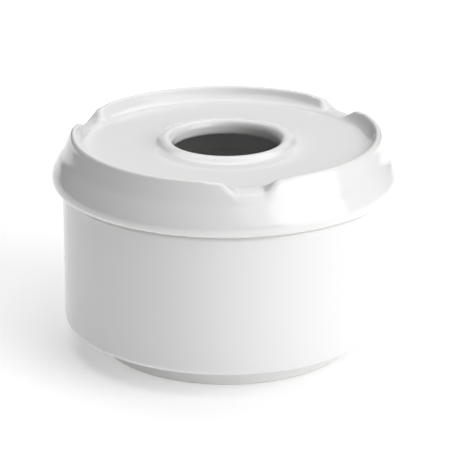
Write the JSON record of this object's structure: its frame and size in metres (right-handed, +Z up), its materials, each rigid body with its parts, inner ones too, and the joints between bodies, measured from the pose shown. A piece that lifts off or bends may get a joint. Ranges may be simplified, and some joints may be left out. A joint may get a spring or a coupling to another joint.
{
  "type": "lidded table ashtray",
  "caption": "Round porcelain table ashtray: a cylindrical cup on a foot ring and a loose dished lid with a centre hole, a bulging flared rim and rounded cigarette rests.",
  "frame": {"origin": "centre of the foot ring, on the table", "axes": "+Z up along the turning axis of both pieces; -Y faces the viewer, with one rest almost straight in front"},
  "size_m": [0.1094, 0.1094, 0.0692],
  "materials": {
    "bowl_glaze": "glossy white glaze",
    "lid_glaze": "glossy white glaze"
  },
  "bodies": {
    "bowl": {"bowl": "bowl_glaze"},
    "lid": {"lid": "lid_glaze"}
  },
  "joints": [
    {"name": "lid_lift", "type": "slide", "parent": "bowl", "child": "lid", "axis": [0, 0, 1], "range_m": [0, 0.06]}
  ]
}
